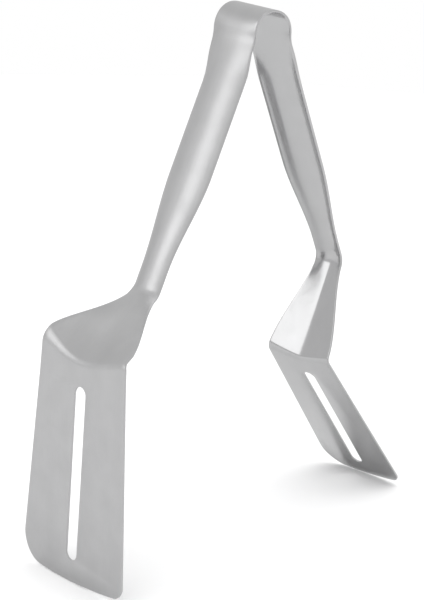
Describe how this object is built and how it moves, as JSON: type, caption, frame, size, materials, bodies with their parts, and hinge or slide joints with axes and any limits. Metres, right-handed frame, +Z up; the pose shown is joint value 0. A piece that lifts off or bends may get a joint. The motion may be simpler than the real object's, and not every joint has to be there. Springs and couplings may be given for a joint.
{
  "type": "slotted turner serving tongs",
  "caption": "One-piece spring-bow steel serving tongs with troughed grips and cranked, slotted, slanted turner blades that nest when squeezed.",
  "frame": {"origin": "centre of the footprint between the blade tips, on the surface they touch", "axes": "+Z up towards the bow, X across the spread of the arms, Y across the width of the strip with the longer blade corners towards -Y"},
  "size_m": [0.2064, 0.0649, 0.2432],
  "materials": {
    "steel": "satin outside, polished inside"
  },
  "bodies": {
    "bow": {"spring_bow": "steel"},
    "left_arm": {"left_handle": "steel", "left_shoulder": "steel", "left_blade": "steel"},
    "right_arm": {"right_handle": "steel", "right_shoulder": "steel", "right_blade": "steel"}
  },
  "joints": [
    {"name": "left_flex", "type": "hinge", "parent": "bow", "child": "left_arm", "pos_m": [-0.01289, 0, 0.23791], "axis": [0, -1, 0], "range_deg": [-4, 23.2], "stiffness_Nm_per_rad": 2, "deforming": ["spring_bow"]},
    {"name": "right_flex", "type": "hinge", "parent": "bow", "child": "right_arm", "pos_m": [0.00337, 0, 0.23827], "axis": [0, 1, 0], "range_deg": [-4, 23.2], "stiffness_Nm_per_rad": 2, "deforming": ["spring_bow"]}
  ],
  "couplings": [
    {"joint": "right_flex", "follows": "left_flex", "ratio": 1}
  ]
}
